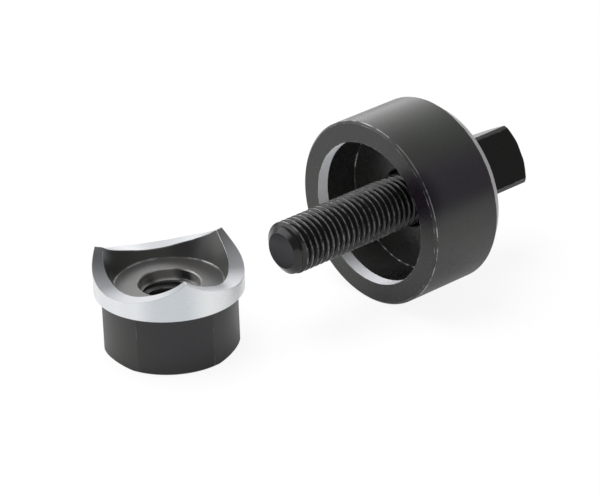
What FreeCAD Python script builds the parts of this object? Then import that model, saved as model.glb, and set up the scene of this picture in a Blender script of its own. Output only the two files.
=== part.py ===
import FreeCAD, Part
import Sketcher
import math
import os
import re

# Knockout punch for round holes in sheet metal. A turned die lies on its side
# with the drive screw through it, and the punch, unscrewed from the drive
# screw, stands beside the screw's tip with its three cutting points upwards.
# Between the die and the square head sits a thrust ball bearing.
#
# Millimetres. +Z is up from the bench, +X runs along the drive screw from the
# die's mouth to the square head. Lengths along the screw count from the mouth,
# heights on the punch from its base.

doc = FreeCAD.newDocument("KnockoutPunch")

SIZES = [
    ("die_radius", 35.0, "outside radius of the die"),
    ("die_length", 35.0, "mouth to back face"),
    ("die_mouth_chamfer", 0.8, "broken edge round the mouth face"),
    ("die_back_bevel_length", 4.5, "bevel at the back, along the axis"),
    ("die_back_bevel_drop", 3.5, "bevel at the back, in radius"),
    ("die_cut_clearance", 0.15, "gap all round between punch and die"),
    ("die_land_depth", 4.8, "ground cutting land inside the mouth"),
    ("die_relief", 0.35, "how far the cup opens behind the land"),
    ("die_cup_depth", 18.8, "mouth to the cup's floor"),
    ("screw_hole_clearance", 1.1, "gap round the screw in the die's floor"),
    ("screw_hole_chamfer", 0.5, "broken edges of the hole in the floor"),
    ("screw_radius", 9.9, "outside radius of the thread and the shank"),
    ("thread_pitch", 2.5, "pitch of the drive thread, twice its depth"),
    ("screw_tip_length", 42.5, "how far the tip stands out of the mouth"),
    ("screw_tip_radius", 6.65, "flat end of the tip"),
    ("screw_tip_chamfer", 2.6, "length of the tip's chamfer"),
    ("thread_end", 26.0, "mouth to the end of the thread"),
    ("thread_undercut_length", 3.0, "relief groove behind the thread"),
    ("thread_undercut_depth", 1.7, "depth of the relief groove"),
    ("head_radius", 14.9, "radius of the head's turned blank"),
    ("head_shoulder_length", 2.5, "round shoulder in front of the flats"),
    ("head_length", 23.5, "shoulder face to the head's end"),
    ("head_flats", 22.4, "across two opposite flats of the square"),
    ("head_sides", 4, "flats milled round the head"),
    ("head_turn", 28.4, "turn of the square from upright"),
    ("head_end_radius", 11.5, "flat end face inside the chamfer"),
    ("head_end_chamfer", 2.0, "length of the end chamfer"),
    ("bearing_radius", 17.5, "outside radius of both washers"),
    ("housing_washer_bore", 10.5, "bore radius of the washer on the die"),
    ("shaft_washer_clearance", 0.1, "gap round the shank in the other washer"),
    ("washer_thickness", 3.0, "thickness of each washer"),
    ("bearing_thickness", 10.0, "die face to head face"),
    ("washer_edge", 0.4, "broken edges of the washers"),
    ("ball_radius", 2.7, "radius of a ball"),
    ("ball_circle_radius", 13.8, "radius of the circle of ball centres"),
    ("ball_clearance", 0.1, "gap between ball and groove or pocket"),
    ("ball_count", 14, "number of balls"),
    ("cage_thickness", 1.6, "thickness of the ball cage"),
    ("cage_inner_radius", 10.3, "inside radius of the ball cage"),
    ("cage_outer_radius", 17.2, "outside radius of the ball cage"),
    ("punch_radius", 27.0, "cutting radius"),
    ("punch_body_radius", 24.4, "round of the black body"),
    ("punch_body_height", 22.25, "base to the lower rim of the cutting ring"),
    ("punch_base_chamfer", 0.6, "broken edge round the base"),
    ("punch_flat_depth", 1.1, "how deep each of the three flats is cut"),
    ("punch_flat_crown", 42.0, "radius of a flat's slight crown"),
    ("punch_flat_turn", 9.4, "flats, turned back from the scallops"),
    ("ring_rim_chamfer", 0.3, "broken lower edge of the cutting ring"),
    ("punch_height", 36.5, "base to the cutting points"),
    ("scallop_depth", 8.4, "cutting points to the bottom of a scallop"),
    ("scallop_rounding", 0.95, "what the rounded bottom saves over sharp flanks"),
    ("cutting_points", 3, "number of cutting points and scallops"),
    ("point_land", 0.15, "how far the points are stoned down"),
    ("bowl_floor_height", 24.6, "base to the bowl's floor"),
    ("bowl_floor_radius", 19.8, "bowl's radius at its floor"),
    ("bowl_lip_radius", 24.3, "bowl's radius at the cutting points"),
    ("counterbore_radius", 11.1, "smooth mouth of the threaded hole"),
    ("counterbore_depth", 4.0, "depth of the smooth mouth"),
    ("counterbore_chamfer", 0.4, "broken edge at the bowl's floor"),
    ("thread_entry_chamfer", 1.3, "chamfer at both ends of the thread"),
    ("punch_along", 73.35, "punch axis in front of the die's mouth"),
    ("punch_aside", 25.85, "punch axis beside the screw's axis"),
    ("punch_turn", 56.2, "turn of the punch about its own axis"),
    ("cutter_margin", 1.0, "how far a cut runs past what it clears"),
    ("flank_overrun", 1.05, "length of a cut flank over its length to the ridge"),
]

sizes = doc.addObject("Spreadsheet::Sheet", "Sizes")
for row, (alias, number, meaning) in enumerate(SIZES, start=1):
    sizes.set("A%d" % row, meaning)
    sizes.set("B%d" % row, str(number))
    sizes.setAlias("B%d" % row, alias)
doc.recompute()

BACK_ALONG_SCREW = FreeCAD.Vector(-1, 0, 0)
OUT_OF_SKETCH = FreeCAD.Vector(0, 0, 1)
DOWNWARDS = FreeCAD.Vector(0, 0, -1)
FIRST_POINT, SECOND_POINT, CENTRE_POINT = range(1, 4)
SKETCH_ORIGIN = (-1, FIRST_POINT)
SMALLEST_CUT_VOLUME = 1.0

# Places along the screw and the middle of the whole tool, as formulas of the sizes.
BORE_RADIUS = "(punch_radius + die_cut_clearance)"
BEARING_MIDDLE = "(die_length + bearing_thickness / 2)"
SCREW_HOLE_RADIUS = "(screw_radius + screw_hole_clearance)"
HEAD_FACE = "(die_length + bearing_thickness)"
HEAD_END = "(die_length + bearing_thickness + head_length)"
THREAD_BORE_RADIUS = "(screw_radius - thread_pitch / 2)"
MIDDLE_ALONG = "(({0} - punch_along - punch_radius) / 2)".format(HEAD_END)
MIDDLE_ASIDE = "((punch_aside + punch_radius - die_radius) / 2)"


def bound(formula):
    """The formula with every size's name led by the sheet's name."""
    return re.sub(r"[a-z]+_\w+", r"Sizes.\g<0>", formula)


def value(formula):
    """The formula's present number."""
    return float(sizes.evalExpression(bound(formula)))


def new_body(name):
    """An empty body that will be written as parts/NAME.step."""
    body = doc.addObject("PartDesign::Body", name)
    body.Label = name
    return body


def origin_part(body, role):
    """The body's own origin plane or axis with this role."""
    for feature in body.Origin.OriginFeatures:
        if feature.Role == role:
            return feature
    raise ValueError(role)


def new_sketch(body, name, plane):
    """A sketch that lies on one of the body's own origin planes."""
    sketch = body.newObject("Sketcher::SketchObject", name)
    sketch.AttachmentSupport = (origin_part(body, plane), [""])
    sketch.MapMode = "FlatFace"
    return sketch


def fix_point(sketch, line, end, across, up):
    """Hold one end of a line at two formulas, across and up from the origin."""
    for kind, formula in (("DistanceX", across), ("DistanceY", up)):
        place = Sketcher.Constraint(kind, *SKETCH_ORIGIN, line, end, value(formula))
        index = sketch.addConstraint(place)
        sketch.setExpression("Constraints[%d]" % index, bound(formula))


def fix_radius(sketch, line, formula):
    """Hold the radius of a circle or an arc at a formula."""
    index = sketch.addConstraint(Sketcher.Constraint("Radius", line, value(formula)))
    sketch.setExpression("Constraints[%d]" % index, bound(formula))


def draw_ball_circle(sketch, across, up):
    """The circle of a ball with its clearance, its centre held at two formulas."""
    radius = "ball_radius + ball_clearance"
    centre = FreeCAD.Vector(value(across), value(up), 0)
    sketch.addGeometry(Part.Circle(centre, OUT_OF_SKETCH, value(radius)), False)
    fix_point(sketch, 0, CENTRE_POINT, across, up)
    fix_radius(sketch, 0, radius)


def draw_outline(sketch, corners):
    """A closed outline of straight lines, each corner held at its two formulas."""
    points = [FreeCAD.Vector(value(across), value(up), 0) for across, up in corners]
    count = len(points)
    for start in range(count):
        sketch.addGeometry(Part.LineSegment(points[start], points[(start + 1) % count]), False)
    for start in range(count):
        following = (start + 1) % count
        joined = Sketcher.Constraint("Coincident", start, SECOND_POINT, following, FIRST_POINT)
        sketch.addConstraint(joined)
    for start, (across, up) in enumerate(corners):
        fix_point(sketch, start, FIRST_POINT, across, up)


def turned(body, name, corners, axis):
    """A solid of revolution from a half section on the XZ plane."""
    sketch = new_sketch(body, name + "_section", "XZ_Plane")
    draw_outline(sketch, corners)
    solid = body.newObject("PartDesign::Revolution", name)
    solid.Profile = sketch
    solid.ReferenceAxis = (sketch, [axis])
    solid.Angle = 360.0
    sketch.Visibility = False
    doc.recompute()
    return solid


def around(body, name, feature, axis_role, count):
    """The feature repeated evenly round one of the body's origin axes."""
    pattern = body.newObject("PartDesign::PolarPattern", name)
    pattern.Originals = [feature]
    pattern.Axis = (origin_part(body, axis_role), [""])
    pattern.Angle = 360.0
    pattern.setExpression("Occurrences", bound(count))
    body.Tip = pattern
    doc.recompute()
    return pattern


def check_cut(body, volume_before):
    """Stop if the body's last cut took nothing away."""
    if body.Shape.Volume > volume_before - SMALLEST_CUT_VOLUME:
        raise ValueError("the last cut of %s took nothing away" % body.Label)


def turn_piece(piece, axis, angle):
    """Turn a piece about an axis through its own origin by a formula in degrees."""
    piece.Placement.Rotation = FreeCAD.Rotation(axis, value(angle))
    piece.setExpression("Placement.Rotation.Angle", bound(angle))


def place_on_screw_axis(piece):
    """Set a piece, drawn about the screw's axis from the mouth, on the bench."""
    piece.setExpression("Placement.Base.x", bound("-" + MIDDLE_ALONG))
    piece.setExpression("Placement.Base.y", bound("-" + MIDDLE_ASIDE))
    piece.setExpression("Placement.Base.z", bound("die_radius"))


def make_die():
    """Die: a turned cup with a ground cutting land, relieved behind, and a bevelled back."""
    body = new_body("die")
    hole = SCREW_HOLE_RADIUS
    relieved = "({0} + die_relief)".format(BORE_RADIUS)
    turned(body, "die_blank", [
        ("0", BORE_RADIUS),
        ("0", "die_radius - die_mouth_chamfer"),
        ("die_mouth_chamfer", "die_radius"),
        ("die_length - die_back_bevel_length", "die_radius"),
        ("die_length", "die_radius - die_back_bevel_drop"),
        ("die_length", hole + " + screw_hole_chamfer"),
        ("die_length - screw_hole_chamfer", hole),
        ("die_cup_depth + screw_hole_chamfer", hole),
        ("die_cup_depth", hole + " + screw_hole_chamfer"),
        ("die_cup_depth", relieved),
        ("die_land_depth + die_relief", relieved),
        ("die_land_depth", BORE_RADIUS),
    ], "H_Axis")
    place_on_screw_axis(body)
    return body


def make_drive_screw():
    """Drive screw: a turned bar with a shank, a tip and a round head milled to a square."""
    body = new_body("drive_screw")
    undercut = "screw_radius - thread_undercut_depth"
    undercut_end = "thread_end + thread_undercut_length"
    turned(body, "screw_blank", [
        ("-screw_tip_length", "0"),
        ("-screw_tip_length", "screw_tip_radius"),
        ("screw_tip_chamfer - screw_tip_length", "screw_radius"),
        ("thread_end", "screw_radius"),
        ("thread_end + thread_undercut_depth", undercut),
        (undercut_end, undercut),
        (undercut_end, "screw_radius"),
        (HEAD_FACE, "screw_radius"),
        (HEAD_FACE, "head_radius"),
        (HEAD_END + " - head_end_chamfer", "head_radius"),
        (HEAD_END, "head_end_radius"),
        (HEAD_END, "0"),
    ], "H_Axis")
    turned_volume = body.Shape.Volume

    sketch = new_sketch(body, "flat_section", "YZ_Plane")
    sketch.setExpression("AttachmentOffset.Base.z", bound(HEAD_FACE + " + head_shoulder_length"))
    outside = "head_radius + cutter_margin"
    draw_outline(sketch, [
        ("-({0})".format(outside), "head_flats / 2"),
        (outside, "head_flats / 2"),
        (outside, outside),
        ("-({0})".format(outside), outside),
    ])
    flat = body.newObject("PartDesign::Pocket", "head_flat")
    flat.Profile = sketch
    flat.Type = "Length"
    flat.setExpression("Length", bound("head_length - head_shoulder_length + cutter_margin"))
    flat.Reversed = True
    sketch.Visibility = False
    doc.recompute()
    around(body, "square_head", flat, "X_Axis", "head_sides")
    check_cut(body, turned_volume)
    turn_piece(body, BACK_ALONG_SCREW, "head_turn")
    place_on_screw_axis(body)
    return body


def make_washer(name, face, bore):
    """Bearing washer: a flat ring whose inner face has a round groove for the balls."""
    body = new_body(name)
    back = "({0} + washer_thickness)".format(face)
    turned(body, name + "_ring", [
        (face + " + washer_edge", bore),
        (face, bore + " + washer_edge"),
        (face, "bearing_radius - washer_edge"),
        (face + " + washer_edge", "bearing_radius"),
        (back + " - washer_edge", "bearing_radius"),
        (back, "bearing_radius - washer_edge"),
        (back, bore + " + washer_edge"),
        (back + " - washer_edge", bore),
    ], "H_Axis")
    ring_volume = body.Shape.Volume

    sketch = new_sketch(body, name + "_groove_section", "XZ_Plane")
    draw_ball_circle(sketch, BEARING_MIDDLE, "ball_circle_radius")
    groove = body.newObject("PartDesign::Groove", name + "_groove")
    groove.Profile = sketch
    groove.ReferenceAxis = (sketch, ["H_Axis"])
    groove.Angle = 360.0
    sketch.Visibility = False
    doc.recompute()
    check_cut(body, ring_volume)
    place_on_screw_axis(body)
    return body


def make_cage():
    """Ball cage: a thin flat ring with a round pocket for each ball."""
    body = new_body("bearing_cage")
    front = BEARING_MIDDLE + " - cage_thickness / 2"
    back = BEARING_MIDDLE + " + cage_thickness / 2"
    turned(body, "cage_ring", [
        (front, "cage_inner_radius"),
        (front, "cage_outer_radius"),
        (back, "cage_outer_radius"),
        (back, "cage_inner_radius"),
    ], "H_Axis")
    ring_volume = body.Shape.Volume

    sketch = new_sketch(body, "pocket_section", "YZ_Plane")
    sketch.setExpression("AttachmentOffset.Base.z", bound(BEARING_MIDDLE + " + cage_thickness"))
    draw_ball_circle(sketch, "0", "ball_circle_radius")
    pocket = body.newObject("PartDesign::Pocket", "ball_pocket")
    pocket.Profile = sketch
    pocket.Type = "Length"
    pocket.setExpression("Length", bound("2 * cage_thickness"))
    sketch.Visibility = False
    doc.recompute()
    around(body, "ball_pockets", pocket, "X_Axis", "ball_count")
    check_cut(body, ring_volume)
    place_on_screw_axis(body)
    return body


def make_balls():
    """Bearing balls: one in each pocket of the cage, between the two grooves."""
    balls = []
    for number in range(int(value("ball_count"))):
        ball = doc.addObject("Part::Sphere", "bearing_ball_%02d" % (number + 1))
        ball.Label = ball.Name
        ball.setExpression("Radius", bound("ball_radius"))
        turn = "{0} * 360 / ball_count".format(number)
        centre = (
            BEARING_MIDDLE + " - " + MIDDLE_ALONG,
            "-ball_circle_radius * sin({0}) - {1}".format(turn, MIDDLE_ASIDE),
            "ball_circle_radius * cos({0}) + die_radius".format(turn),
        )
        for axis, formula in zip("xyz", centre):
            ball.setExpression("Placement.Base." + axis, bound(formula))
        balls.append(ball)
    doc.recompute()
    return balls


def draw_crowned_flat(body):
    """The outline that a flat's cut clears, seen along the punch's axis.

    Its side towards the axis is an arc of a large radius, so that the flat is
    slightly crowned. The other three sides lie clear of the round body.
    """
    sketch = new_sketch(body, "body_flat_section", "XY_Plane")
    back_turn = FreeCAD.Rotation(DOWNWARDS, value("punch_flat_turn"))
    sketch.AttachmentOffset = FreeCAD.Placement(FreeCAD.Vector(), back_turn)
    sketch.setExpression("AttachmentOffset.Rotation.Angle", bound("punch_flat_turn"))
    crown = "punch_flat_crown"
    outside = "(punch_body_radius + cutter_margin)"
    centre = "(punch_body_radius - punch_flat_depth - {0})".format(crown)
    crown_end = "{0} + sqrt({1} ^ 2 - {2} ^ 2)".format(centre, crown, outside)

    half_turn = math.asin(value(outside) / value(crown))
    middle = FreeCAD.Vector(value(centre), 0, 0)
    circle = Part.Circle(middle, OUT_OF_SKETCH, value(crown))
    arc = Part.ArcOfCircle(circle, -half_turn, half_turn)
    far_left = FreeCAD.Vector(value(outside), value(outside), 0)
    far_right = FreeCAD.Vector(value(outside), -value(outside), 0)
    sides = [
        arc,
        Part.LineSegment(arc.EndPoint, far_left),
        Part.LineSegment(far_left, far_right),
        Part.LineSegment(far_right, arc.StartPoint),
    ]
    sketch.addGeometry(sides, False)
    sketch.addConstraint([
        Sketcher.Constraint("Coincident", 0, SECOND_POINT, 1, FIRST_POINT),
        Sketcher.Constraint("Coincident", 1, SECOND_POINT, 2, FIRST_POINT),
        Sketcher.Constraint("Coincident", 2, SECOND_POINT, 3, FIRST_POINT),
        Sketcher.Constraint("Coincident", 3, SECOND_POINT, 0, FIRST_POINT),
    ])
    fix_point(sketch, 0, FIRST_POINT, crown_end, "-" + outside)
    fix_point(sketch, 0, SECOND_POINT, crown_end, outside)
    fix_radius(sketch, 0, crown)
    fix_point(sketch, 1, SECOND_POINT, outside, outside)
    fix_point(sketch, 2, SECOND_POINT, outside, "-" + outside)
    sketch.Visibility = False
    return sketch


def draw_scallop(body, name, distance):
    """The outline that a scallop clears, upright across its direction at this distance.

    The lower side is an arc between two straight flanks. A flank's slope shrinks as
    the distance grows, so a flank stays level along every line from the punch's
    axis, and two scallops meet in a level ridge at each cutting point.
    """
    sketch = new_sketch(body, name, "YZ_Plane")
    sketch.setExpression("AttachmentOffset.Base.z", bound(distance))
    spread = "tan(180 / cutting_points)"
    bottom = "(punch_height - scallop_depth)"
    flank_rise = "(scallop_depth + scallop_rounding)"
    slope = "({0} / ({1} * ({2})))".format(flank_rise, spread, distance)
    radius = "scallop_rounding / (sqrt(1 + {0} ^ 2) - 1)".format(slope)
    half_width = "({0}) * {1} * flank_overrun".format(distance, spread)
    flank_end = "{0} - scallop_rounding + {1} * flank_overrun".format(bottom, flank_rise)
    top = "punch_height + {0}".format(flank_rise)

    arc_radius = value(radius)
    lean = math.atan(value(slope))
    centre = FreeCAD.Vector(0, value(bottom) + arc_radius, 0)
    reach = value(half_width)
    end_height = value(flank_end)
    arc = Part.ArcOfCircle(
        Part.Circle(centre, OUT_OF_SKETCH, arc_radius),
        1.5 * math.pi - lean,
        1.5 * math.pi + lean,
    )
    left_end = FreeCAD.Vector(-reach, end_height, 0)
    right_end = FreeCAD.Vector(reach, end_height, 0)
    left_top = FreeCAD.Vector(-reach, value(top), 0)
    right_top = FreeCAD.Vector(reach, value(top), 0)
    sides = [
        Part.LineSegment(left_end, arc.StartPoint),
        arc,
        Part.LineSegment(arc.EndPoint, right_end),
        Part.LineSegment(right_end, right_top),
        Part.LineSegment(right_top, left_top),
        Part.LineSegment(left_top, left_end),
    ]
    sketch.addGeometry(sides, False)
    sketch.addConstraint([
        Sketcher.Constraint("Tangent", 0, SECOND_POINT, 1, FIRST_POINT),
        Sketcher.Constraint("Tangent", 1, SECOND_POINT, 2, FIRST_POINT),
        Sketcher.Constraint("Coincident", 2, SECOND_POINT, 3, FIRST_POINT),
        Sketcher.Constraint("Coincident", 3, SECOND_POINT, 4, FIRST_POINT),
        Sketcher.Constraint("Coincident", 4, SECOND_POINT, 5, FIRST_POINT),
        Sketcher.Constraint("Coincident", 5, SECOND_POINT, 0, FIRST_POINT),
    ])
    fix_point(sketch, 0, FIRST_POINT, "-({0})".format(half_width), flank_end)
    fix_point(sketch, 2, SECOND_POINT, half_width, flank_end)
    fix_point(sketch, 3, SECOND_POINT, half_width, top)
    fix_point(sketch, 4, SECOND_POINT, "-({0})".format(half_width), top)
    fix_radius(sketch, 1, radius)
    sketch.addConstraint(Sketcher.Constraint("Vertical", *SKETCH_ORIGIN, 1, CENTRE_POINT))
    sketch.Visibility = False
    return sketch


def make_punch():
    """Punch: a turned cup, milled to three flats, with a scalloped three-point cutting edge."""
    body = new_body("punch")
    thread = THREAD_BORE_RADIUS
    entry = "({0} + thread_entry_chamfer)".format(thread)
    step = "(bowl_floor_height - counterbore_depth)"
    blank_height = "punch_height - point_land"
    turned(body, "punch_blank", [
        (entry, "0"),
        ("punch_body_radius - punch_base_chamfer", "0"),
        ("punch_body_radius", "punch_base_chamfer"),
        ("punch_body_radius", "punch_body_height"),
        ("punch_radius - ring_rim_chamfer", "punch_body_height"),
        ("punch_radius", "punch_body_height + ring_rim_chamfer"),
        ("punch_radius", blank_height),
        ("bowl_lip_radius", blank_height),
        ("bowl_floor_radius", "bowl_floor_height"),
        ("counterbore_radius + counterbore_chamfer", "bowl_floor_height"),
        ("counterbore_radius", "bowl_floor_height - counterbore_chamfer"),
        ("counterbore_radius", step),
        (entry, step),
        (thread, step + " - thread_entry_chamfer"),
        (thread, "thread_entry_chamfer"),
    ], "V_Axis")
    blank_volume = body.Shape.Volume

    sketch = draw_crowned_flat(body)
    flat = body.newObject("PartDesign::Pocket", "body_flat")
    flat.Profile = sketch
    flat.Type = "Length"
    flat.setExpression("Length", bound("punch_body_height"))
    flat.Reversed = True
    doc.recompute()
    around(body, "body_flats", flat, "Z_Axis", "cutting_points")
    check_cut(body, blank_volume)
    flatted_volume = body.Shape.Volume

    lip_beside_point = "bowl_lip_radius * cos(180 / cutting_points)"
    inner = draw_scallop(body, "scallop_inner_section", lip_beside_point + " - cutter_margin")
    outer = draw_scallop(body, "scallop_outer_section", "punch_radius + cutter_margin")
    scallop = body.newObject("PartDesign::SubtractiveLoft", "scallop")
    scallop.Profile = inner
    scallop.Sections = [outer]
    scallop.Ruled = True
    doc.recompute()
    around(body, "scallops", scallop, "Z_Axis", "cutting_points")
    check_cut(body, flatted_volume)

    turn_piece(body, DOWNWARDS, "punch_turn")
    body.setExpression("Placement.Base.x", bound("-punch_along - " + MIDDLE_ALONG))
    body.setExpression("Placement.Base.y", bound("punch_aside - " + MIDDLE_ASIDE))
    return body


shaft_washer_face = "({0} - washer_thickness)".format(HEAD_FACE)
shaft_washer_bore = "(screw_radius + shaft_washer_clearance)"
pieces = [
    make_die(),
    make_punch(),
    make_drive_screw(),
    make_washer("bearing_housing_washer", "die_length", "housing_washer_bore"),
    make_washer("bearing_shaft_washer", shaft_washer_face, shaft_washer_bore),
    make_cage(),
]
pieces.extend(make_balls())
doc.recompute()

for item in doc.Objects:
    if "Invalid" in item.State or "Error" in item.State:
        raise RuntimeError("%s is not built: %s" % (item.Name, item.State))
for piece in pieces:
    if piece.Shape.isNull() or not piece.Shape.isValid():
        raise RuntimeError("%s has no valid shape" % piece.Label)

os.makedirs("parts", exist_ok=True)
for piece in pieces:
    piece.Shape.exportStep("parts/%s.step" % piece.Label)
    box = piece.Shape.BoundBox
    print("%-24s solids %d volume %9.1f  x %.2f %.2f y %.2f %.2f z %.2f %.2f" % (
        piece.Label, len(piece.Shape.Solids), piece.Shape.Volume,
        box.XMin, box.XMax, box.YMin, box.YMax, box.ZMin, box.ZMax))
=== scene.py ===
import math

import bmesh
import bpy
import numpy as np
from mathutils import Matrix, Vector


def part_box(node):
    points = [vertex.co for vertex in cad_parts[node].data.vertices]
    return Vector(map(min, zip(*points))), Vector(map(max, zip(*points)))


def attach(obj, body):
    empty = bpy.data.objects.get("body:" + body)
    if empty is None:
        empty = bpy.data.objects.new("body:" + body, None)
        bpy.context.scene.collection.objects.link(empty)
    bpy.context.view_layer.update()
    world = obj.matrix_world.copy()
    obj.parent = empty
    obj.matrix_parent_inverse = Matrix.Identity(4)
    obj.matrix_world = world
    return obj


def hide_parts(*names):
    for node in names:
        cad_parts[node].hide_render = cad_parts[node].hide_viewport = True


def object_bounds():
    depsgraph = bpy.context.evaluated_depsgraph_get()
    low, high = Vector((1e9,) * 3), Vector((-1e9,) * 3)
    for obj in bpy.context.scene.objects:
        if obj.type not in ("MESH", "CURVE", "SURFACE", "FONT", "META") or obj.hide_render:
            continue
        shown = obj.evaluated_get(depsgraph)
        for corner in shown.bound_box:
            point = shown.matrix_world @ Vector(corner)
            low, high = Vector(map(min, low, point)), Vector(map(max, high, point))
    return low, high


# Knockout punch for round holes in sheet metal: the punch stands by itself, and the
# die lies on its side with the drive screw and its thrust bearing through it.
# Metres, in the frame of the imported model. Lengths along the screw count from the die's mouth.

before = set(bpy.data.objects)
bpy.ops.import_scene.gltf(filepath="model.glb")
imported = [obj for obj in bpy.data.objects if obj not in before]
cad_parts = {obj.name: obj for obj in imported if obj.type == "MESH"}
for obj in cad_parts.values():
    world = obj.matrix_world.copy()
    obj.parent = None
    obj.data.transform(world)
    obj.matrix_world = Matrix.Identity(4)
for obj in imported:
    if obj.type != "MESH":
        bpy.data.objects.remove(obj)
frame_low, frame_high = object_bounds()


# The die: a deep ring of tool steel, turned and blackened all over. Its mouth is bored to the
# punch's size plus the cutting gap, and only the land behind that edge is ground bright, its colour
# painted lighter than bare steel's. The bore opens behind the land so that the slug falls free, and
# the floor has the screw's hole.

FULL_TURN = 2 * math.pi
die_low, die_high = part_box("die")
mouth = die_low.x
screw_y = (die_low.y + die_high.y) / 2
screw_z = (die_low.z + die_high.z) / 2
die_radius = (die_high.z - die_low.z) / 2
die_length = die_high.x - die_low.x
punch_low, punch_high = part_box("punch")
punch_radius = (punch_high.x - punch_low.x) / 2
cutting_gap = 0.00015
land_radius = punch_radius + cutting_gap
land_depth = 0.0048
undercut = 0.00035
cup_radius = land_radius + undercut
cup_depth = 0.0188
screw_hole_radius = 0.011
mouth_chamfer = 0.0008
bevel_length = 0.0045
bevel_drop = 0.0035
hole_chamfer = 0.0005
die_columns = 256

EDGE_STEPS = 4
SHADING_STRIP = 0.0003
LARGEST_ARC_SHARE = 0.4
NEARLY_STRAIGHT = 0.99999
NO_LENGTH = 1e-9


def soften(corners, radii, closed):
    """An outline with rounded corners, from corners[..., corner, 2] and a radius for each corner.

    An open outline's first and last corner stay as they are, and have no radius. Each arc touches
    both straight sides at the radius over the tangent of half the corner's angle, and swings evenly
    from one touching point to the other. One more point follows a narrow strip beyond each end of
    the arc, so that the straight runs shade as flat ones.
    """
    here, before, after = corners, np.roll(corners, 1, axis=-2), np.roll(corners, -1, axis=-2)
    if not closed:
        here, before, after = corners[..., 1:-1, :], corners[..., :-2, :], corners[..., 2:, :]
    back_length = np.maximum(np.linalg.norm(before - here, axis=-1, keepdims=True), NO_LENGTH)
    ahead_length = np.maximum(np.linalg.norm(after - here, axis=-1, keepdims=True), NO_LENGTH)
    back = (before - here) / back_length
    ahead = (after - here) / ahead_length
    cosine = np.sum(back * ahead, axis=-1, keepdims=True)
    half = np.arccos(np.clip(cosine, -NEARLY_STRAIGHT, NEARLY_STRAIGHT)) / 2
    radius = np.asarray(radii, float)[:, None]
    touch = np.minimum(radius / np.tan(half), LARGEST_ARC_SHARE * np.minimum(back_length, ahead_length))
    radius = touch * np.tan(half)
    middle = (back + ahead) / np.linalg.norm(back + ahead, axis=-1, keepdims=True)
    centre = here + middle * radius / np.sin(half)
    start, end = here + back * touch - centre, here + ahead * touch - centre
    swing = math.pi - 2 * half
    share = np.linspace(0, 1, EDGE_STEPS + 1)[:, None]
    swing, start, end = swing[..., None, :], start[..., None, :], end[..., None, :]
    arc = (np.sin((1 - share) * swing) * start + np.sin(share * swing) * end) / np.sin(swing)
    arc = arc + centre[..., None, :]
    strip_back = np.minimum(SHADING_STRIP, (back_length - touch) / 3)
    strip_ahead = np.minimum(SHADING_STRIP, (ahead_length - touch) / 3)
    first = (here + back * (touch + strip_back))[..., None, :]
    last = (here + ahead * (touch + strip_ahead))[..., None, :]
    blocks = np.concatenate([first, arc, last], axis=-2)
    outline = blocks.reshape(*blocks.shape[:-3], -1, 2)
    if not closed:
        outline = np.concatenate([corners[..., :1, :], outline, corners[..., -1:, :]], axis=-2)
    return outline


def along_corners(per_corner, closed):
    """One value for each point of a softened outline: a corner's value on its arc, none on the strips."""
    block = np.zeros((len(per_corner), EDGE_STEPS + 3))
    block[:, 1:-1] = np.asarray(per_corner, float)[:, None]
    values = block.ravel()
    return values if closed else np.concatenate([[0.0], values, [0.0]])


def along_runs(per_run, closed):
    """One value for each strip of a softened outline: a straight run keeps half of the arc at each end."""
    runs = np.asarray(per_run)
    before = np.roll(runs, 1) if closed else runs[:-1]
    after = runs if closed else runs[1:]
    near = (EDGE_STEPS + 2) // 2
    far = EDGE_STEPS + 3 - near
    strips = np.concatenate([np.repeat(before[:, None], near, 1), np.repeat(after[:, None], far, 1)], 1)
    return strips.ravel() if closed else np.concatenate([runs[:1], strips.ravel()])


LEAST_STEP_SHARE = 0.45


def turn_angles(count, marks, offsets):
    """Angles for one turn and its closing one: evenly spaced, with a close group at each marked edge."""
    even = np.arange(count) * FULL_TURN / count
    close = (np.asarray(marks)[:, None] + np.asarray(offsets)).ravel() % FULL_TURN
    if close.size:
        gap = np.abs((even[:, None] - close + math.pi) % FULL_TURN - math.pi).min(axis=1)
        even = even[gap > LEAST_STEP_SHARE * FULL_TURN / count]
    angles = np.sort(np.concatenate([even, close]))
    return np.append(angles, angles[0] + FULL_TURN)


MERGE_DISTANCE = 1e-6


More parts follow.
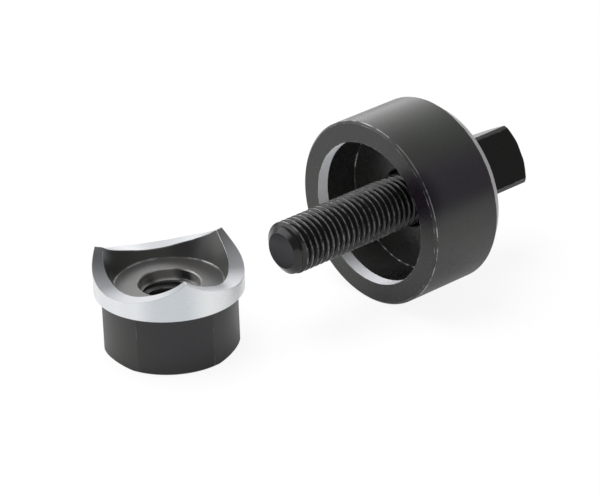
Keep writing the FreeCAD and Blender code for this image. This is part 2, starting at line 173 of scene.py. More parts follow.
def grid_piece(name, points, angles, edge, strip_finish, closed, finishes, body, node):
    """A closed piece from points[row, column, 3]: each face joins two neighbouring rows and columns.

    Rows follow the section and columns go once round it. The last column lies on the first, a row on
    the axis is one point, and such doubles are merged. Faces are turned outwards by the solid's volume.
    """
    rows, columns = points.shape[:2]
    index = np.arange(rows * columns).reshape(rows, columns)
    lower, upper = (index, np.roll(index, -1, axis=0)) if closed else (index[:-1], index[1:])
    quads = np.stack([lower[:, :-1], lower[:, 1:], upper[:, 1:], upper[:, :-1]], axis=-1).reshape(-1, 4)
    flat = points.reshape(-1, 3)
    p, q, r, s = (flat[quads[:, k]] - flat.mean(axis=0) for k in range(4))
    volume = np.sum(p * np.cross(q, r)) + np.sum(p * np.cross(r, s))
    if volume < 0:
        quads = quads[:, ::-1]
    mesh = bpy.data.meshes.new(name)
    mesh.from_pydata(flat.tolist(), [], quads.tolist())
    mesh.polygons.foreach_set("use_smooth", np.ones(len(quads), bool))
    mesh.polygons.foreach_set("material_index", np.repeat(strip_finish, columns - 1).astype(np.int32))
    step = np.linalg.norm(np.diff(points, axis=0, prepend=points[:1]), axis=-1).mean(axis=1)
    along = np.repeat(np.cumsum(step)[:, None], columns, 1)
    turned = np.stack(np.broadcast_arrays(np.cos(angles), np.sin(angles), along), axis=-1)
    edge_layer = mesh.attributes.new("edge", "FLOAT", "POINT")
    edge_layer.data.foreach_set("value", edge.ravel().astype(np.float32))
    turned_layer = mesh.attributes.new("turned", "FLOAT_VECTOR", "POINT")
    turned_layer.data.foreach_set("vector", turned.ravel().astype(np.float32))
    merged = bmesh.new()
    merged.from_mesh(mesh)
    bmesh.ops.remove_doubles(merged, verts=merged.verts, dist=MERGE_DISTANCE)
    merged.to_mesh(mesh)
    merged.free()
    for finish in finishes:
        mesh.materials.append(finish)
    piece = bpy.data.objects.new(name, mesh)
    bpy.context.scene.collection.objects.link(piece)
    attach(piece, body)
    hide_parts(node)


def about_screw(along, radius, angles):
    """Points of a section turned about the screw's axis, the angle running from +Y towards +Z."""
    return np.stack([
        mouth + along + 0 * angles,
        screw_y + radius * np.cos(angles),
        screw_z + radius * np.sin(angles)], axis=-1)


class NodeTree:
    """A node tree that is built up node by node."""

    def __init__(self, tree):
        self.tree = tree

    def add(self, kind, inputs=None, **settings):
        """A node of this kind. An input is a plain value, or another node's output to link."""
        node = self.tree.nodes.new(kind)
        for key, setting in settings.items():
            setattr(node, key, setting)
        for key, given in (inputs or {}).items():
            self.feed(node.inputs[key], given)
        return node

    def feed(self, socket, given):
        if isinstance(given, bpy.types.NodeSocket):
            self.tree.links.new(given, socket)
        else:
            socket.default_value = given

    def arithmetic(self, operation, one, other):
        return self.add("ShaderNodeMath", {0: one, 1: other}, operation=operation).outputs[0]

    def vectors(self, operation, one, other):
        return self.add("ShaderNodeVectorMath", {0: one, 1: other}, operation=operation).outputs

    def blend_value(self, factor, low, high):
        """Low where the factor is 0 and high where it is 1."""
        return self.add("ShaderNodeMapRange", {"Value": factor, "To Min": low, "To Max": high}).outputs[0]

    def window(self, factor, start, end):
        """None at start and one at end, with a smooth change between."""
        node = self.add("ShaderNodeMapRange", {"Value": factor, "From Min": start, "From Max": end},
                        interpolation_type="SMOOTHSTEP")
        return node.outputs[0]


class Finish(NodeTree):
    """A material that is built up node by node, with its shader and its output already there."""

    def __init__(self, name):
        self.material = bpy.data.materials.new(name)
        self.material.use_nodes = True
        super().__init__(self.material.node_tree)
        self.shader = self.tree.nodes["Principled BSDF"]

    def blend_colour(self, factor, low, high):
        """The colour low where the factor is 0 and high where it is 1: the node's sockets 6, 7 and 2."""
        return self.add("ShaderNodeMix", {0: factor, 6: low, 7: high}, data_type="RGBA").outputs[2]

    def place(self):
        """The point on the piece, in metres."""
        return self.add("ShaderNodeTexCoord").outputs["Object"]

    def turned(self, stretch):
        """The point as its direction round the axis and its place along the section."""
        layer = self.add("ShaderNodeAttribute", attribute_name="turned")
        return self.vectors("MULTIPLY", layer.outputs["Vector"], stretch)[0]

    def near(self, where, centre, reach, core):
        """One within the core of this centre, falling smoothly to none at the reach."""
        return self.window(self.vectors("DISTANCE", where, centre)["Value"], reach, core)

    def about(self, angle, reach, core):
        """The same for a direction round the axis, where a distance of one is about a radian."""
        direction = (math.cos(angle), math.sin(angle), 0.0)
        return self.near(self.turned((1.0, 1.0, 0.0)), direction, reach, core)

    def edge(self):
        """How much the point's edge is rubbed, from 0 to 1."""
        return self.add("ShaderNodeAttribute", attribute_name="edge").outputs["Fac"]

    def noise(self, where, scale, detail=3.0):
        """Smooth noise with this many patches to a metre, or to a unit of a stretched place."""
        node = self.add("ShaderNodeTexNoise", {"Vector": where, "Scale": scale, "Detail": detail,
                                               "Roughness": 0.55})
        return node.outputs["Fac"]

    def set_shader(self, name, given):
        self.feed(self.shader.inputs[name], given)

    def bump(self, height, strength):
        """Marks 0.02 mm high at full strength."""
        node = self.add("ShaderNodeBump", {"Height": height, "Strength": strength, "Distance": 0.00002})
        self.set_shader("Normal", node.outputs[0])


RUBBED_STEEL = (0.62, 0.63, 0.65, 1)
# A near black purple for a spot of painted shade.
PAINTED_SHADE_TINT = (0.012, 0.008, 0.014, 1)
TURNING_MARKS = (0.15, 0.15, 5200.0)


def black_oxide(name, cool, warm, roughness, gloss, wear, fleck=150.0, cloud=38.0, painted_shade_spot=None, shade_band=None):
    """Blackened steel: a dark oxide whose tint drifts over the piece, rubbed thin along its edges.

    The drift is smooth noise between the cool and the warm tint, and what is rubbed is the edge's own
    value times finer noise. The spot is a darker place of painted shade: its centre and its reach, in
    metres. The band is the angle about which the warm tint gathers, painted shade as well as a tint.
    """
    finish = Finish(name)
    place = finish.place()
    drift = finish.window(finish.noise(place, cloud, detail=1.0), 0.35, 0.65)
    # Painted shade: the warm tint gathers into a band about one angle round the axis, darker as well as more
    # purple.
    if shade_band is not None:
        shade_gathered = finish.about(shade_band, reach=0.5, core=0.1)
        drift = finish.arithmetic("MAXIMUM", finish.arithmetic("MULTIPLY", drift, 0.35), shade_gathered)
    marks = finish.noise(finish.turned(TURNING_MARKS), 1.0, detail=1.0)
    patches = finish.window(finish.noise(place, fleck), 0.35, 0.7)
    rubbed = finish.arithmetic("MULTIPLY", finish.edge(), finish.blend_value(patches, 0.35, 1.25))
    bare = finish.arithmetic("MULTIPLY", finish.window(rubbed, 0.25, 0.85), wear)
    tint = finish.blend_colour(drift, cool, warm)
    # Painted shade: the tint darkens to a near black purple about one spot.
    if painted_shade_spot:
        centre, reach = painted_shade_spot
        tint = finish.blend_colour(finish.near(place, centre, reach, reach * 0.4), tint, PAINTED_SHADE_TINT)
    finish.set_shader("Base Color", finish.blend_colour(bare, tint, RUBBED_STEEL))
    finish.set_shader("Metallic", bare)
    patchy = finish.noise(place, 160.0, detail=4.0)
    finish.set_shader("Roughness", finish.blend_value(patchy, roughness - 0.05, roughness + 0.06))
    finish.set_shader("IOR", gloss)
    finish.bump(marks, 0.05)
    return finish.material


def ground_steel(name, colour, deep, roughness, along_axis, relief=0.08, streaks=0.13, shade=None):
    """Bare ground steel: fine wheel marks and faint bands of the deep tint, and one about the shade's angle.

    The bands are slow noise round the axis, and the one about the shade's angle is painted shade.
    The marks are noise stretched by along_axis, and they change the tint by the streaks' share, the
    roughness and, by the relief, the bump.
    """
    finish = Finish(name)
    bands = finish.window(finish.noise(finish.turned((2.2, 2.2, 0.0)), 1.0, detail=1.0), 0.3, 0.7)
    # Painted shade: the deep tint gathered into a band about one angle round the axis.
    if shade is not None:
        shade_gathered = finish.about(shade, reach=0.55, core=0.15)
        bands = finish.arithmetic("MAXIMUM", finish.arithmetic("MULTIPLY", bands, 0.25), shade_gathered)
    marks = finish.noise(finish.turned(along_axis), 1.0)
    bright = finish.blend_value(marks, 1.0 - streaks * 0.6, 1.0 + streaks * 0.4)
    tint = finish.add("ShaderNodeVectorMath", {0: finish.blend_colour(bands, colour, deep), "Scale": bright},
                      operation="SCALE")
    finish.set_shader("Base Color", tint.outputs[0])
    finish.set_shader("Metallic", 1.0)
    finish.set_shader("Roughness", finish.blend_value(marks, roughness - 0.05, roughness + 0.07))
    finish.bump(marks, relief)
    return finish


def marked_round(finish, axis, spread, lean):
    """Spread the reflections across grinding marks that run round this axis, and lean them this way.

    The lean is added to the surface's own normal, and the sum has its length set back to one.
    """
    surface = finish.add("ShaderNodeNewGeometry").outputs["Normal"]
    leaning = finish.vectors("ADD", surface, lean)[0]
    upright = finish.add("ShaderNodeVectorMath", {0: leaning}, operation="NORMALIZE").outputs[0]
    bump = finish.shader.inputs["Normal"].links[0].from_node
    finish.feed(bump.inputs["Normal"], upright)
    round_axis = finish.add("ShaderNodeTangent", direction_type="RADIAL", axis=axis).outputs[0]
    finish.set_shader("Anisotropic", spread)
    finish.set_shader("Anisotropic Rotation", 0.25)
    finish.set_shader("Tangent", round_axis)
    return finish.material


# A spot of painted shade on the die's face near its rim, and a band of it, with a purple tint, at 150
# degrees round the axis.
painted_shade_place = (mouth - 0.006, screw_y - 0.0272, screw_z + 0.0144)
painted_shade_reach = 0.016
die_black = black_oxide(
    "die_black", cool=(0.053, 0.058, 0.050, 1), warm=(0.046, 0.040, 0.049, 1), roughness=0.27,
    gloss=1.52, wear=0.9, fleck=260.0, painted_shade_spot=(painted_shade_place, painted_shade_reach), shade_band=math.radians(150))
die_bevel = black_oxide(
    "die_bevel", cool=(0.053, 0.058, 0.050, 1), warm=(0.052, 0.048, 0.054, 1), roughness=0.18,
    gloss=2.2, wear=0.9, fleck=260.0)
# The land's colour is raised past bare steel's: painted light.
die_land = marked_round(ground_steel(
    "die_land", colour=(0.96, 0.96, 0.99, 1), deep=(0.93, 0.94, 0.98, 1), roughness=0.55,
    along_axis=(0.3, 0.3, 6000.0)), axis="X", spread=0.8, lean=(-1.15, 0.0, 0.0))

die_corners = np.array([
    (0, land_radius),
    (0, die_radius - mouth_chamfer),
    (mouth_chamfer, die_radius),
    (die_length - bevel_length, die_radius),
    (die_length, die_radius - bevel_drop),
    (die_length, screw_hole_radius + hole_chamfer),
    (die_length - hole_chamfer, screw_hole_radius),
    (cup_depth + hole_chamfer, screw_hole_radius),
    (cup_depth, screw_hole_radius + hole_chamfer),
    (cup_depth, cup_radius),
    (land_depth + undercut, cup_radius),
    (land_depth, land_radius)])
# For each corner: the radius of its rounding, and how much its edge is rubbed. For each straight
# run, from its corner to the next: its finish.
die_rounding = [0.00006, 0.0001, 0.0001, 0.0003, 0.0003, 0.0001,
                0.0001, 0.0001, 0.0001, 0.0004, 0.0002, 0.0001]
die_rub = [0.6, 0.5, 1.0, 0.6, 0.6, 0.3, 0.2, 0.2, 0.3, 0.6, 0.0, 0.4]
BLACK, BRIGHT, BEVEL = range(3)
die_runs = [BLACK] * 3 + [BEVEL] + [BLACK] * 7 + [BRIGHT]
die_angles = turn_angles(die_columns, [], [])
die_outline = soften(die_corners, die_rounding, closed=True)
die_points = about_screw(die_outline[:, :1], die_outline[:, 1:], die_angles)
die_edge = np.repeat(along_corners(die_rub, closed=True)[:, None], len(die_angles), 1)
grid_piece("die_turned", die_points, die_angles, die_edge, along_runs(die_runs, closed=True), True,
           [die_black, die_land, die_bevel], "bench_pieces", "die")


# The punch: a cup of tool steel, turned, milled to three flats on its body and blackened. The
# cutting ring is then ground bright, its colour painted lighter than bare steel's and crossed by a
# band of painted shade, and three scallops ground across it leave three cutting points. Its
# threaded bore takes the drive screw, which pulls it through the sheet into the die.

punch_x = (punch_low.x + punch_high.x) / 2
punch_y = (punch_low.y + punch_high.y) / 2
punch_base = punch_low.z
punch_top = punch_high.z - punch_low.z
POINTS = 3
valley_angles = np.radians(-56.2 + 360 / POINTS * np.arange(POINTS))
ridge_angles = valley_angles + math.pi / POINTS
flat_angles = valley_angles - math.radians(9.4)
body_radius = 0.0244
flat_depth = 0.0011
flat_crown = 0.042
body_height = 0.02225
ring_chamfer = 0.0003
base_chamfer = 0.0006
least_chamfer = 0.00012
point_land = 0.00015
scallop_depth = 0.0084
scallop_rounding = 0.00095
bowl_floor = 0.0246
bowl_floor_radius = 0.0198
bowl_lip_radius = 0.0243
counterbore_radius = 0.0111
counterbore_depth = 0.004
counterbore_chamfer = 0.0004
counterbore_floor = bowl_floor - counterbore_depth
thread_pitch = 0.0025
thread_flank = math.radians(30)
thread_crest_rounding = 0.00006
thread_root_rounding = 0.00018
nut_crest_radius = 0.00865
nut_root_radius = 0.00995
nut_worn_depth = 0.0003
arris_wear = 0.5
arris_width = math.radians(0.6)
punch_columns = 180
beside_arris = np.radians([-0.9, -0.4, 0, 0.4, 0.9])
LIP_ROUNDS = 6


def scallop_height(radius, angles):
    """Height of the scalloped top over the base, at this radius.

    Beside a valley's direction the height rises with the tangent of the angle, so that it stays level
    along each line from the axis and two scallops meet in a level ridge. Across the bottom an arc that
    touches both flanks takes its place, and the points are stoned down to the punch's height.
    """
    aside = (angles - valley_angles[0] + math.pi / POINTS) % (FULL_TURN / POINTS) - math.pi / POINTS
    bottom = punch_top + point_land - scallop_depth
    rise = scallop_depth + scallop_rounding
    slope = rise / (math.tan(math.pi / POINTS) * radius * np.cos(aside))
    arc_radius = scallop_rounding / (np.sqrt(1 + slope ** 2) - 1)
    across = radius * np.abs(np.sin(aside))
    on_arc = across < arc_radius * np.sin(np.arctan(slope))
    arc = bottom + arc_radius - np.sqrt(np.maximum(arc_radius ** 2 - across ** 2, 0))
    flank = bottom - scallop_rounding + slope * across
    return np.minimum(np.where(on_arc, arc, flank), punch_top)


def helix_rows(start, end, crest, root, angles):
    """Rows of a thread that climb one pitch a turn: their places along the axis and their radii.

    One pitch is a flat crest, a straight flank, a flat root and a flank, with rounded corners. Each row
    keeps its place in that shape while it goes round, and stops level at the start and the end.
    """
    flank = abs(crest - root) * math.tan(thread_flank)
    crest_flat = thread_pitch / 8
    root_flat = thread_pitch - crest_flat - 2 * flank
    places = np.cumsum([-flank, flank, crest_flat, flank, root_flat, flank])
    one_turn = np.stack([places, [root, crest, crest, root, root, crest]], axis=-1)
    rounding = [thread_crest_rounding] * 2 + [thread_root_rounding] * 2
    shape = soften(one_turn, rounding, closed=False)[1:-1]
    turns = math.ceil((end - start) / thread_pitch) + 1
    rows = (shape[:, 0] + thread_pitch * (np.arange(turns)[:, None] - 1)).ravel() + start
    climb = thread_pitch * (angles - angles[0]) / FULL_TURN
    along = np.clip(rows[:, None] + climb, start, end)
    radius = np.tile(shape[:, 1], turns)[:, None]
    return along, np.broadcast_to(radius, along.shape)


def nearness(angles, marks, width):
    """One at a marked angle, falling evenly to none at the width beside it."""
    gap = np.abs((angles[:, None] - np.asarray(marks) + math.pi) % FULL_TURN - math.pi).min(axis=1)
    return np.clip(1 - gap / width, 0, 1)


def corners_round(pairs, angles):
    """Corners[column, corner, 2] from pairs, where a value is one number or one for each angle."""
    columns = [np.stack(np.broadcast_arrays(first, second, angles)[:2], axis=-1) for first, second in pairs]
    return np.stack(columns, axis=1)


# A flat's crown is an arc of the radius flat_crown, which lies flat_depth inside the body at its middle
# and meets the body's circle flat_half to each side.
crown_offset = flat_crown - (body_radius - flat_depth)
flat_cosine = (flat_crown ** 2 - body_radius ** 2 - crown_offset ** 2) / (2 * body_radius * crown_offset)
flat_half = math.acos(flat_cosine)
arris_angles = np.concatenate([flat_angles + side * flat_half for side in (-1, 1)])
punch_angles = turn_angles(punch_columns, np.concatenate([arris_angles, ridge_angles]), beside_arris)
from_flat = (punch_angles - flat_angles[0] + math.pi / POINTS) % (FULL_TURN / POINTS) - math.pi / POINTS
crown_chord = np.sqrt(flat_crown ** 2 - (crown_offset * np.sin(from_flat)) ** 2)
on_crown = crown_chord - crown_offset * np.cos(from_flat)
body_side = np.minimum(body_radius, on_crown)
foot = np.maximum(least_chamfer, base_chamfer - (body_radius - body_side))

# The bowl's wall is a cone, so its lip's radius and height depend on each other and settle in turns.
bowl_slope = (bowl_lip_radius - bowl_floor_radius) / (punch_top - bowl_floor)
lip_radius = np.full_like(punch_angles, bowl_lip_radius)
for _ in range(LIP_ROUNDS):
    lip_height = scallop_height(lip_radius, punch_angles)
    lip_radius = bowl_floor_radius + bowl_slope * (lip_height - bowl_floor)
rim_height = scallop_height(punch_radius, punch_angles)

punch_corners = corners_round([
    (nut_root_radius, counterbore_floor),
    (counterbore_radius, counterbore_floor),
    (counterbore_radius, bowl_floor - counterbore_chamfer),
    (counterbore_radius + counterbore_chamfer, bowl_floor),
    (bowl_floor_radius, bowl_floor),
    (lip_radius, lip_height),
    (punch_radius, rim_height),
    (punch_radius, body_height + ring_chamfer),
    (punch_radius - ring_chamfer, body_height),
    (body_side, body_height),
    (body_side, foot),
    (body_side - foot, 0.0),
    (nut_root_radius, 0.0)], punch_angles)
punch_rounding = [0.0003, 0.0001, 0.0001, 0.0006, 0.00018, 0.00006, 0.0001, 0.0001, 0.0003, 0.0001, 0.0001]
punch_rub = [0.0, 0.5, 0.6, 0.5, 1.0, 0.6, 0.5, 0.5, 0.0, 0.5, 0.4]
punch_outline = soften(punch_corners, punch_rounding, closed=False)
section_radius, section_height = punch_outline[:, :, 0].T, punch_outline[:, :, 1].T
nut_height, nut_radius = helix_rows(0.0, counterbore_floor, nut_crest_radius, nut_root_radius, punch_angles)
countersink = nut_root_radius - np.minimum(nut_height, counterbore_floor - nut_height)
nut_radius = np.maximum(nut_radius, countersink)
punch_r = np.concatenate([section_radius, nut_radius])
punch_z = np.concatenate([section_height, nut_height])
punch_points = np.stack([
    punch_x + punch_r * np.cos(punch_angles),
    punch_y + punch_r * np.sin(punch_angles),
    punch_base + punch_z], axis=-1)

section_edge = np.repeat(along_corners(punch_rub, closed=False)[:, None], len(punch_angles), 1)
on_body = (np.abs(section_radius - body_side) < least_chamfer) & (section_height < body_height)
arris_edge = arris_wear * nearness(punch_angles, arris_angles, arris_width)
section_edge = np.where(on_body, np.maximum(section_edge, arris_edge), section_edge)
nut_edge = np.clip(1 - (nut_radius - nut_crest_radius) / nut_worn_depth, 0, 1)
punch_edge = np.concatenate([section_edge, nut_edge])

BODY, BOWL, RELIEF, RING, WALL, BORE, THREAD = range(7)
section_runs = along_runs([BORE] * 3 + [BOWL, WALL, RELIEF] + [RING] * 3 + [BODY] * 3, closed=False)
punch_runs = np.concatenate([section_runs, np.full(len(nut_height) + 1, THREAD)])
punch_black = black_oxide(
    "punch_black", cool=(0.036, 0.038, 0.033, 1), warm=(0.038, 0.035, 0.040, 1), roughness=0.30,
    gloss=1.5, wear=0.7)
punch_wall = black_oxide(
    "punch_wall", cool=(0.085, 0.087, 0.078, 1), warm=(0.045, 0.042, 0.045, 1), roughness=0.30,
    gloss=1.6, wear=0.9)
# The bore's cool tint is pale grey in patches among black: painted reflections on the counterbore.
punch_bore_painted_glints = black_oxide(
    "punch_bore_painted_glints", cool=(0.40, 0.39, 0.37, 1), warm=(0.050, 0.048, 0.050, 1), roughness=0.25,
    gloss=2.4, wear=1.0, cloud=110.0)
punch_thread = black_oxide(
    "punch_thread", cool=(0.045, 0.045, 0.042, 1), warm=(0.038, 0.035, 0.040, 1), roughness=0.18,
    gloss=2.2, wear=1.0, fleck=260.0)
punch_bowl = black_oxide(
    "punch_bowl", cool=(0.060, 0.062, 0.060, 1), warm=(0.066, 0.062, 0.060, 1), roughness=0.3,
    gloss=2.2, wear=0.9)
punch_relief = ground_steel(
    "punch_relief", colour=(0.60, 0.61, 0.63, 1), deep=(0.56, 0.58, 0.61, 1), roughness=0.32,
    along_axis=(60.0, 60.0, 900.0)).material
# The ring's colour is raised past bare steel's, painted light, and a band of painted shade lies about -129
# degrees.
punch_ring = ground_steel(
    "punch_ring", colour=(0.96, 0.98, 0.99, 1), deep=(0.71, 0.75, 0.79, 1), roughness=0.27,
    along_axis=(0.4, 0.4, 2500.0), relief=0.002, streaks=0.04, shade=math.radians(-129)).material
grid_piece("punch_ground", punch_points, punch_angles, punch_edge, punch_runs, True,
           [punch_black, punch_bowl, punch_relief, punch_ring, punch_wall, punch_bore_painted_glints, punch_thread],
           "bench_pieces", "punch")


# The drive screw: one bar of alloy steel, turned, threaded as far as the relief groove and
# blackened glossy. The thread goes through the die into the punch, and the head is milled to a
# square for the wrench.

screw_low, screw_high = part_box("drive_screw")
screw_tip = screw_low.x - mouth
head_end = screw_high.x - mouth
screw_radius = 0.0099
screw_root_radius = 0.00855
screw_worn_depth = 0.00012
tip_radius = 0.00665
tip_chamfer = 0.0026
thread_end = 0.026
groove_end = 0.029
groove_radius = 0.0082
head_length = 0.0235
collar_length = 0.0025
head_face = head_end - head_length
shoulder = head_face + collar_length
head_radius = 0.0149
half_square = 0.0112
head_end_radius = 0.0115
head_end_chamfer = 0.002
end_edge = 0.00012
corner_wear = 0.7
corner_width = math.radians(0.8)
screw_columns = 84
beside_corner = np.radians([-1.2, -0.5, 0, 0.5, 1.2])
square_angles = np.radians(-28.4 + 90 * np.arange(4))
corner_half = math.acos(half_square / head_radius)
corner_angles = np.concatenate([square_angles + side * corner_half for side in (-1, 1)])
screw_angles = turn_angles(screw_columns, corner_angles, beside_corner)

# The radius of the square's straight side is half the square over the cosine, up to the round blank.
# A cone then cuts its end, deepest at the corners.
from_square = (screw_angles - square_angles[0] + math.pi / 4) % (FULL_TURN / 4) - math.pi / 4
head_side = np.minimum(head_radius, half_square / np.cos(from_square))
cone_fall = head_end_chamfer * (head_side - head_end_radius) / (head_radius - head_end_radius)
cone_start = head_end - np.maximum(end_edge, cone_fall)
cone_end = np.minimum(head_end_radius, head_side - end_edge)

thread_run = thread_end + screw_radius - groove_radius
helix_along, helix_radius = helix_rows(screw_tip, thread_run, screw_radius, screw_root_radius, screw_angles)
tip_cone = tip_radius + (screw_radius - tip_radius) * (helix_along - screw_tip) / tip_chamfer
groove_cone = screw_radius - (helix_along - thread_end)
helix_radius = np.minimum(helix_radius, np.minimum(tip_cone, groove_cone))
tip_share = np.array([0, 0.35, 0.8, 0.97])[:, None] + 0 * screw_angles
back_corners = corners_round([
    (thread_run, groove_radius),
    (groove_end, groove_radius),
    (groove_end, screw_radius),
    (head_face, screw_radius),
    (head_face, head_radius),
    (shoulder, head_radius),
    (shoulder, head_side),
    (cone_start, head_side),
    (head_end, cone_end),
    (head_end, 0.0)], screw_angles)
back_rounding = [0.0004, 0.0001, 0.0002, 0.0003, 0.00025, 0.0002, 0.0002, 0.0001]
back_rub = [0.0, 0.3, 0.0, 0.4, 0.5, 0.0, 0.6, 0.6]
back_outline = soften(back_corners, back_rounding, closed=False)[:, 1:]
back_along, back_radius = back_outline[:, :, 0].T, back_outline[:, :, 1].T
screw_along = np.concatenate([0 * tip_share + screw_tip, helix_along, back_along])
screw_r = np.concatenate([tip_share * tip_radius, helix_radius, back_radius])
screw_points = about_screw(screw_along, screw_r, screw_angles)

back_edge = np.repeat(along_corners(back_rub, closed=False)[1:, None], len(screw_angles), 1)
on_square = (back_along > shoulder) & (back_along < cone_start)
corner_edge = corner_wear * nearness(screw_angles, corner_angles, corner_width)
back_edge = np.where(on_square, np.maximum(back_edge, corner_edge), back_edge)
crest_edge = np.clip(1 - (screw_radius - helix_radius) / screw_worn_depth, 0, 1)
screw_edge = np.concatenate([0 * tip_share, crest_edge, back_edge])

SCREW, TIP_FACE = range(2)
screw_runs = np.where(np.arange(len(screw_r) - 1) < len(tip_share), TIP_FACE, SCREW)
screw_black = black_oxide(
    "screw_black", cool=(0.014, 0.014, 0.013, 1), warm=(0.016, 0.013, 0.015, 1), roughness=0.17,
    gloss=1.55, wear=0.45, fleck=500.0)
# The tip face: a lighter copy of the screw's black, painted light.
screw_tip_painted_light = black_oxide(
    "screw_tip_painted_light", cool=(0.046, 0.045, 0.047, 1), warm=(0.042, 0.038, 0.044, 1), roughness=0.30,
    gloss=1.5, wear=0.5)
grid_piece("drive_screw_threaded", screw_points, screw_angles, screw_edge, screw_runs, False,
           [screw_black, screw_tip_painted_light], "drive_screw", "drive_screw")


# The thrust bearing: two flat washers of hardened bearing steel with a ground groove each,
# fourteen polished balls, and a pressed cage that keeps the balls apart. It sits between the
# die's back and the screw's head.

def bearing_steel(name, colour, roughness, scratch):
    """Hardened and ground steel, with fine marks and a slight cloud in its colour and its shine."""
    finish = Finish(name)
    place = finish.place()
    cloud = finish.noise(place, 120.0, detail=4.0)
    clouded = tuple(0.86 * part for part in colour[:3]) + (1,)
    finish.set_shader("Base Color", finish.blend_colour(finish.window(cloud, 0.3, 0.7), colour, clouded))
    finish.set_shader("Metallic", 1.0)
    finish.set_shader("Roughness", finish.blend_value(cloud, roughness * 0.7, roughness * 1.5))
    finish.bump(finish.noise(place, scratch, detail=2.0), 0.05)
    return finish.material


def dress(node, finish):
    """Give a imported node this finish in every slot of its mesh."""
    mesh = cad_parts[node].data
    if not mesh.materials:
        mesh.materials.append(finish)
    for number in range(len(mesh.materials)):
        mesh.materials[number] = finish


washer_steel = bearing_steel("washer_steel", (0.62, 0.63, 0.65, 1), roughness=0.22, scratch=2200.0)
cage_steel = bearing_steel("cage_steel", (0.50, 0.49, 0.46, 1), roughness=0.38, scratch=1500.0)
ball_steel = bearing_steel("ball_steel", (0.74, 0.75, 0.77, 1), roughness=0.09, scratch=3000.0)
dress("bearing_housing_washer", washer_steel)
dress("bearing_shaft_washer", washer_steel)
dress("bearing_cage", cage_steel)
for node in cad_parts:
    if node.startswith("bearing_ball"):
        dress(node, ball_steel)


# The studio: a white sheet under and behind the tool and a large soft lamp overhead. The steel
# mirrors a room that is dark on the camera's side and bright behind, with a window to the left.
# The lens is long and looks down on the tool from the left.

camera_azimuth = math.radians(41.278)
camera_pitch = math.radians(26.148)
camera_roll = math.radians(-2.005)
camera_place = Vector((mouth - 0.7266, screw_y - 0.7894, screw_z + 0.5129))
level = Vector((math.cos(camera_azimuth), -math.sin(camera_azimuth), 0))
ahead = Vector((math.sin(camera_azimuth) * math.cos(camera_pitch),
                math.cos(camera_azimuth) * math.cos(camera_pitch), -math.sin(camera_pitch)))
above = level.cross(ahead)
right = math.cos(camera_roll) * level + math.sin(camera_roll) * above
up = math.cos(camera_roll) * above - math.sin(camera_roll) * level
turn = Matrix((right, up, -ahead)).transposed().to_4x4()
camera_data = bpy.data.cameras.new("camera")
camera_data.sensor_width = 36
camera_data.sensor_fit = "HORIZONTAL"
camera_data.lens = 197.1
camera_data.clip_start, camera_data.clip_end = 0.01, 100
camera = bpy.data.objects.new("camera", camera_data)
camera.matrix_world = Matrix.Translation(camera_place) @ turn
bpy.context.scene.collection.objects.link(camera)
bpy.context.scene.camera = camera

floor_reach = 4.0
floor_mesh = bpy.data.meshes.new("floor")
floor_corners = floor_reach * np.array([(-1, -1), (1, -1), (1, 1), (-1, 1)])
floor_mesh.from_pydata([(x, y, frame_low.z) for x, y in floor_corners.tolist()], [], [(0, 1, 2, 3)])
floor = bpy.data.objects.new("floor", floor_mesh)
bpy.context.scene.collection.objects.link(floor)


def glowing_sheet(nodes, glow, grey):
    """A sheet with this much light of its own, and this share of the light that falls on it."""
    light = nodes.add("ShaderNodeEmission", {"Strength": glow})
    lit_part = nodes.add("ShaderNodeBsdfDiffuse", {"Color": (grey, grey, grey, 1)})
    return nodes.add("ShaderNodeAddShader", {0: light.outputs[0], 1: lit_part.outputs[0]}).outputs[0]


def either_shader(nodes, choice, where_none, where_one):
    return nodes.add("ShaderNodeMixShader", {0: choice, 1: where_none, 2: where_one}).outputs[0]


# The sheet shows one tone to the camera and a darker one to mirrors, and lights the tool as plain
# white paper would.
sheet = Finish("white_sheet")
sheet.tree.nodes.remove(sheet.shader)
in_view = glowing_sheet(sheet, glow=0.90, grey=0.14)
in_mirror = glowing_sheet(sheet, glow=0.34, grey=0.55)
plain = sheet.add("ShaderNodeBsdfDiffuse", {"Color": (0.8, 0.8, 0.8, 1)}).outputs[0]
rays = sheet.add("ShaderNodeLightPath").outputs
mirror_or_glass = sheet.arithmetic("MAXIMUM", rays["Is Glossy Ray"], rays["Is Transmission Ray"])
seen = sheet.arithmetic("MAXIMUM", mirror_or_glass, rays["Is Camera Ray"])
shown = either_shader(sheet, rays["Is Camera Ray"], in_mirror, in_view)
sheet_surface = either_shader(sheet, seen, plain, shown)
sheet.feed(sheet.tree.nodes["Material Output"].inputs["Surface"], sheet_surface)
floor_mesh.materials.append(sheet.material)

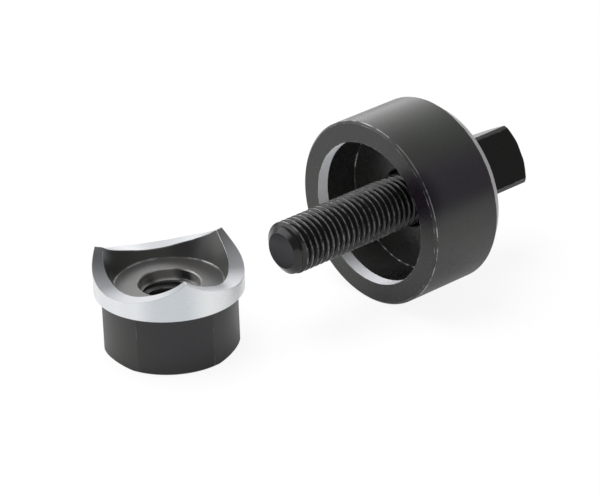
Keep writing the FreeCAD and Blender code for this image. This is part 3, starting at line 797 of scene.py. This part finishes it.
# The room that mirrors show grows brighter with the cosine from the camera's heading, to a power,
# and the window's rim and core are cosines too. The camera itself sees plain white behind the
# sheet, and all else is lit by an even dim glow.
WHITE = (1, 1, 1, 1)
room_dark, room_bright, room_power = 0.13, 1.8, 3.0
window_direction = Vector((-0.70, 0.59, 0.40)).normalized()
window_rim, window_core = 0.78, 0.95
window_glow = 1.6
even_glow = 0.23
heading = (math.sin(camera_azimuth), math.cos(camera_azimuth), 0.0)
world = bpy.data.worlds.new("studio")
bpy.context.scene.world = world
world.use_nodes = True
room = NodeTree(world.node_tree)
room.tree.nodes.clear()
direction = room.add("ShaderNodeTexCoord").outputs["Generated"]
behind = room.arithmetic("MAXIMUM", room.vectors("DOT_PRODUCT", direction, heading)["Value"], 0.0)
room_glow = room.blend_value(room.arithmetic("POWER", behind, room_power), room_dark, room_bright)
to_window = room.vectors("DOT_PRODUCT", direction, window_direction)["Value"]
side_window = room.arithmetic("MULTIPLY", room.window(to_window, window_rim, window_core), window_glow)
mirrored_glow = room.arithmetic("ADD", room_glow, side_window)
mirrored = room.add("ShaderNodeBackground", {"Color": WHITE, "Strength": mirrored_glow}).outputs[0]
lit = room.add("ShaderNodeBackground", {"Color": WHITE, "Strength": even_glow}).outputs[0]
backdrop = room.add("ShaderNodeBackground", {"Color": WHITE, "Strength": 1.0}).outputs[0]
rays = room.add("ShaderNodeLightPath").outputs
unseen = either_shader(room, rays["Is Glossy Ray"], lit, mirrored)
surroundings = either_shader(room, rays["Is Camera Ray"], unseen, backdrop)
room.add("ShaderNodeOutputWorld", {"Surface": surroundings})

lamp_data = bpy.data.lights.new("overhead", "AREA")
lamp_data.shape = "RECTANGLE"
lamp_data.size, lamp_data.size_y = 0.9, 0.7
lamp_data.energy = 8.0
lamp = bpy.data.objects.new("overhead", lamp_data)
lamp_place = Vector((-0.15, 0.25, 0.95))
lamp_turn = lamp_place.to_track_quat("Z", "Y").to_matrix().to_4x4()
lamp.matrix_world = Matrix.Translation(lamp_place) @ lamp_turn
lamp.visible_glossy = False
bpy.context.scene.collection.objects.link(lamp)

bpy.context.scene.view_settings.view_transform = "Standard"
